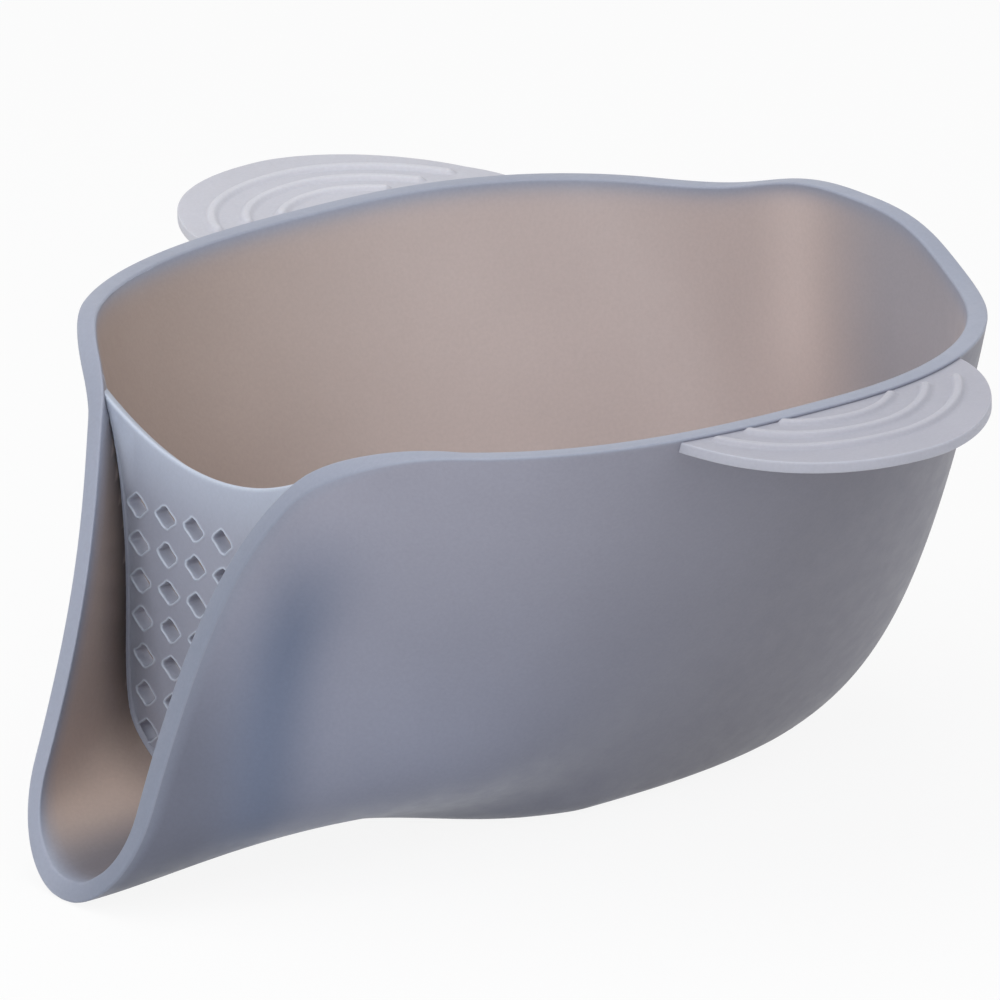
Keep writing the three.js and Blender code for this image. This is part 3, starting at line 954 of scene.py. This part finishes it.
def tub_material():
    material, tree, shader = new_material("tub_silicone_look")
    # Edge colour, darkened on the near side of the lip by painted shade
    edge = blend_colour(tree, attribute(tree, "dim"), linear("989DAD"), linear("7F8595"))
    # Outside colour, with painted shade low down, to the rear, under the spout and along the strainer
    outside = blend_colour(tree, attribute(tree, "low"), linear("9A9AA8"), linear("84889A"))
    for tint, code in (("rear", "797883"), ("ahead", "676A79"), ("strainer_shade", "687187")):
        outside = blend_colour(tree, attribute(tree, tint), outside, linear(code))
    inside = blend_colour(tree, attribute(tree, "brown"), linear("BFB1AE"), linear("A6958C"))
    # Inside colour, with painted shade at the back, in the spout's near side, trough and crease, a painted
    # highlight in the back corner and painted light in the spout
    inside_tints = [
        ("gray_shade", "A5A2A9"), ("corner", "D2C3BF"), ("spout", "C9B4A8"),
        ("shade", "8C8586"), ("trough", "706C72"), ("crease_shade", "33271D"),
    ]
    for tint, code in inside_tints:
        inside = blend_colour(tree, attribute(tree, tint), inside, linear(code))
    wall = blend_colour(tree, attribute(tree, "inside"), outside, inside)
    colour = blend_colour(tree, attribute(tree, "edge"), wall, edge)
    silicone(tree, shader, colour, ROUGHNESS)
    return material


def strainer_material():
    material, tree, shader = new_material("strainer_silicone_look")
    place = tree.nodes.new("ShaderNodeTexCoord")
    parts = tree.nodes.new("ShaderNodeSeparateXYZ")
    tree.links.new(place.outputs["Object"], parts.inputs["Vector"])
    # Painted light: the plate is lighter towards its top
    painted_top_light = remap(tree, parts.outputs["Z"], 0.066, 0.086, 0, 1)
    plate = blend_colour(tree, painted_top_light, linear("9EA1B0"), linear("B6BECF"))
    # Painted highlight: lighter along the top edge and round the holes' rims
    colour = blend_colour(tree, attribute(tree, "edge"), plate, linear("BCC4D3"))
    silicone(tree, shader, colour, ROUGHNESS)
    return material


def grip_material():
    material, tree, shader = new_material("grip_silicone_look")
    # Painted light: the far grip is lighter than the near one
    far = attribute(tree, "far")
    ledge = blend_colour(tree, far, linear("A8A8B3"), linear("BEBEC7"))
    # Painted highlight on the ribs' tops and along the rounded edge
    rib = blend_colour(tree, far, linear("B3B3BD"), linear("C8C8D0"))
    edge = blend_colour(tree, far, linear("B4B5C0"), linear("C6C6CE"))
    ribbed = blend_colour(tree, attribute(tree, "rib"), ledge, rib)
    colour = blend_colour(tree, attribute(tree, "edge"), ribbed, edge)
    silicone(tree, shader, colour, GRIP_ROUGHNESS)
    return material


# Stage

def camera_and_lights():
    camera = bpy.data.cameras.new("camera")
    camera.sensor_width = 36
    camera.lens = CAMERA_LENS
    camera.clip_start = 0.01
    camera.clip_end = 20
    holder = bpy.data.objects.new("camera", camera)
    holder.location = CAMERA_PLACE
    holder.rotation_euler = [math.radians(angle) for angle in CAMERA_TURN]
    bpy.context.scene.collection.objects.link(holder)
    bpy.context.scene.camera = holder
    for name, place, size, power, colour in LAMPS:
        lamp = bpy.data.lights.new(name, "AREA")
        lamp.size = size
        lamp.energy = power
        lamp.color = colour
        holder = bpy.data.objects.new(name, lamp)
        holder.location = place
        dx, dy, dz = (a - b for a, b in zip(LAMP_AIM, place))
        holder.rotation_euler = (math.atan2(math.hypot(dx, dy), -dz), 0, math.atan2(-dx, dy))
        bpy.context.scene.collection.objects.link(holder)


# One where the camera, a reflection or a see-through ray looks, and nought for all other light
def seen_directly(tree):
    path = tree.nodes.new("ShaderNodeLightPath")
    either = path.outputs["Is Camera Ray"]
    for name in ("Is Glossy Ray", "Is Transmission Ray"):
        larger = tree.nodes.new("ShaderNodeMath")
        larger.operation = "MAXIMUM"
        tree.links.new(either, larger.inputs[0])
        tree.links.new(path.outputs[name], larger.inputs[1])
        either = larger.outputs["Value"]
    return either


# Even light from all sides, and a floor and a background that look white
def world_and_floor():
    world = bpy.data.worlds.new("studio")
    bpy.context.scene.world = world
    world.use_nodes = True
    tree = world.node_tree
    plain = tree.nodes["Background"]
    plain.inputs["Color"].default_value = (0.96, 0.98, 1.0, 1.0)
    plain.inputs["Strength"].default_value = WORLD_LIGHT
    white = tree.nodes.new("ShaderNodeBackground")
    white.inputs["Color"].default_value = (1.0, 1.0, 1.0, 1.0)
    white.inputs["Strength"].default_value = 1.0
    chosen = tree.nodes.new("ShaderNodeMixShader")
    tree.links.new(seen_directly(tree), chosen.inputs["Fac"])
    tree.links.new(plain.outputs["Background"], chosen.inputs[1])
    tree.links.new(white.outputs["Background"], chosen.inputs[2])
    tree.links.new(chosen.outputs["Shader"], tree.nodes["World Output"].inputs["Surface"])

    material, tree, shader = new_material("floor_look")
    shader.inputs["Base Color"].default_value = (0.8, 0.8, 0.8, 1.0)
    shader.inputs["Roughness"].default_value = 0.9
    shader.inputs["Specular IOR Level"].default_value = 0.0
    glow = tree.nodes.new("ShaderNodeEmission")
    glow.inputs["Strength"].default_value = 1.0
    chosen = tree.nodes.new("ShaderNodeMixShader")
    share = remap(tree, seen_directly(tree), 0, 1, 0.0, FLOOR_GLOW)
    tree.links.new(share, chosen.inputs["Fac"])
    tree.links.new(shader.outputs["BSDF"], chosen.inputs[1])
    tree.links.new(glow.outputs["Emission"], chosen.inputs[2])
    tree.links.new(chosen.outputs["Shader"], tree.nodes["Material Output"].inputs["Surface"])
    mesh = bpy.data.meshes.new("floor")
    corners = [(x * FLOOR_SIZE, y * FLOOR_SIZE, FLOOR_HEIGHT) for x, y in ((-1, -1), (1, -1), (1, 1), (-1, 1))]
    mesh.from_pydata(corners, [], [(0, 1, 2, 3)])
    mesh.materials.append(material)
    floor = bpy.data.objects.new("floor", mesh)
    bpy.context.scene.collection.objects.link(floor)


camera_and_lights()
world_and_floor()
bpy.context.scene.view_settings.view_transform = "Standard"

shell_piece(tub_material())
strainer_piece(strainer_material())
grip_look = grip_material()
handle_piece("silicone_grip_right", "handle_right", 1, grip_look)
handle_piece("silicone_grip_left", "handle_left", -1, grip_look)
